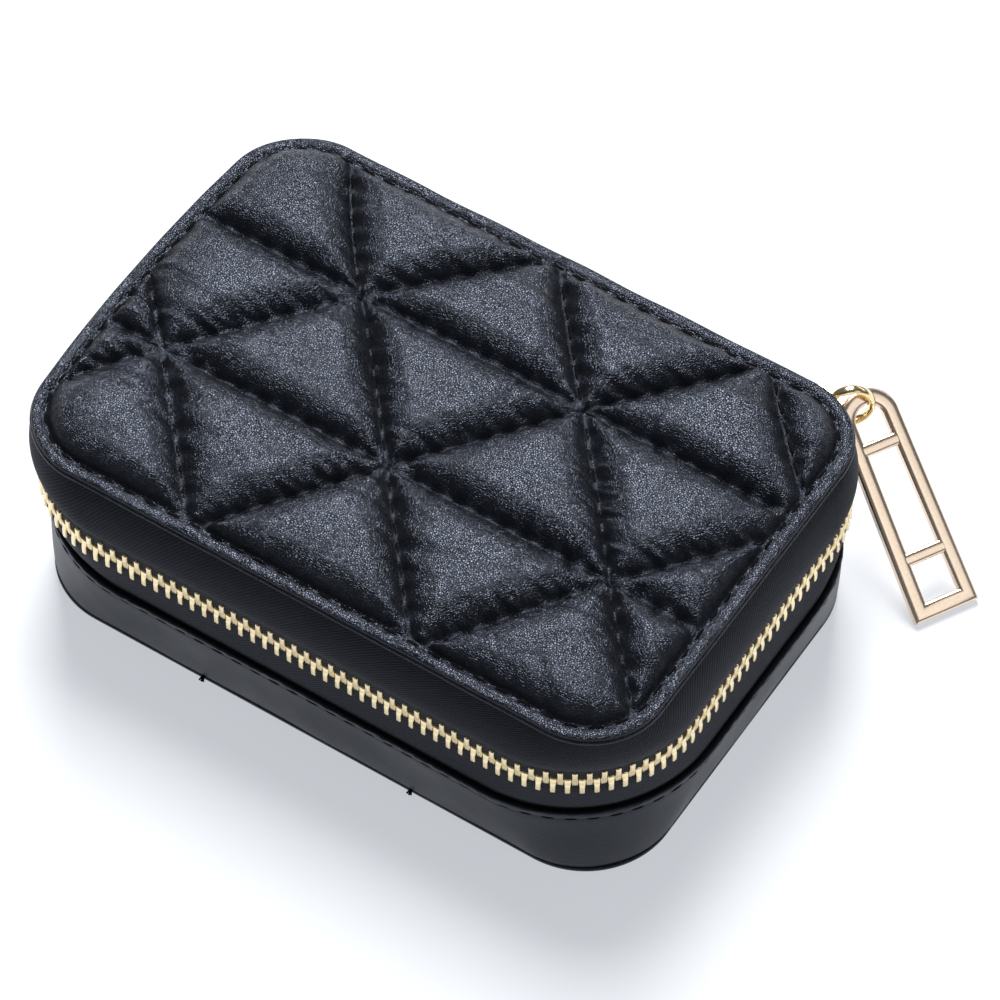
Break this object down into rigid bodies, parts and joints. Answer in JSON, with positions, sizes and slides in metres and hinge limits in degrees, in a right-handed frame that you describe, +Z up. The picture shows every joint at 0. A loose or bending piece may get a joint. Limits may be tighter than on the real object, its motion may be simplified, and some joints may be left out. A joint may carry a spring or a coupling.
{
  "type": "zipped jewellery case",
  "caption": "Zipped leather travel case for jewellery: padded quilted lid on a fold at the back, metal zip with a frame pull, lined tray with ring rolls and dividers.",
  "frame": {"origin": "middle of the underside of the case, on the surface it stands on", "axes": "+Z up, +X along the long side, -Y towards the front; the lid folds at the back (+Y)"},
  "size_m": [0.1373, 0.0981, 0.0418],
  "materials": {
    "quilt_leather": "pebbled, semi-matt",
    "smooth_leather": "smooth, semi-gloss",
    "board": "plain",
    "foam": "open foam",
    "zip_tape": "twill weave",
    "zip_metal": "polished",
    "gold_hardware": "polished",
    "satin_gold": "satin",
    "elastic": "ribbed",
    "lining": "short velvet"
  },
  "bodies": {
    "tray": {"base_bottom_leather": "quilt_leather", "base_bottom_board": "board", "base_leather_band": "smooth_leather", "base_rim_welt": "smooth_leather", "base_wall_board": "board", "base_wall_lining": "lining", "base_floor_lining": "lining", "ring_roll_1": "lining", "ring_roll_2": "lining", "ring_roll_3": "lining", "ring_roll_4": "lining", "ring_roll_5": "lining", "divider_long": "lining", "zip_tape_lower": "zip_tape", "zip_teeth_lower": "zip_metal", "zip_teeth_lower_corner": "zip_metal", "zip_top_stop_lower": "zip_metal", "zip_bottom_stop": "zip_metal", "spine_lower": "quilt_leather"},
    "lid": {"lid_quilted_cover": "quilt_leather", "lid_foam_pad": "foam", "lid_board": "board", "lid_edge_welt": "quilt_leather", "lid_lining": "lining", "lid_pocket_panel": "lining", "lid_pocket_elastic": "elastic", "zip_tape_upper": "zip_tape", "zip_tape_upper_corner": "zip_tape", "zip_teeth_upper": "zip_metal", "zip_teeth_upper_corner": "zip_metal", "zip_top_stop_upper": "zip_metal", "spine_upper": "quilt_leather"},
    "zip_slider": {"slider_body": "gold_hardware", "slider_crown": "gold_hardware", "slider_lock_pin": "gold_hardware"},
    "pull_link": {"link_ring": "gold_hardware"},
    "pull": {"pull_frame": "satin_gold"},
    "cross_divider": {"divider_cross": "lining"},
    "short_divider": {"divider_short": "lining"}
  },
  "joints": [
    {"name": "lid_hinge", "type": "hinge", "parent": "tray", "child": "lid", "pos_m": [0, 0.0421, 0.026], "axis": [-1, 0, 0], "range_deg": [0, 100], "deforming": ["zip_tape_upper_corner", "zip_teeth_upper_corner"]},
    {"name": "zip_slider_travel", "type": "hinge", "parent": "tray", "child": "zip_slider", "pos_m": [0.0377, 0.0199, 0.0259], "axis": [0, 0, -1], "range_deg": [0, 75], "deforming": ["zip_teeth_lower_corner"]},
    {"name": "link_swing", "type": "hinge", "parent": "zip_slider", "child": "pull_link", "pos_m": [0.04434, 0.0457, 0.02629], "axis": [0, 0, 1], "range_deg": [-10, 105]},
    {"name": "pull_swing", "type": "hinge", "parent": "pull_link", "child": "pull", "pos_m": [0.04765, 0.0479, 0.02524], "axis": [-0.1754, -0.9845, 0], "range_deg": [0, 100]},
    {"name": "cross_divider_lift", "type": "slide", "parent": "tray", "child": "cross_divider", "axis": [0, 0, 1], "range_m": [0, 0.014]},
    {"name": "short_divider_lift", "type": "slide", "parent": "tray", "child": "short_divider", "axis": [0, 0, 1], "range_m": [0, 0.014]}
  ]
}
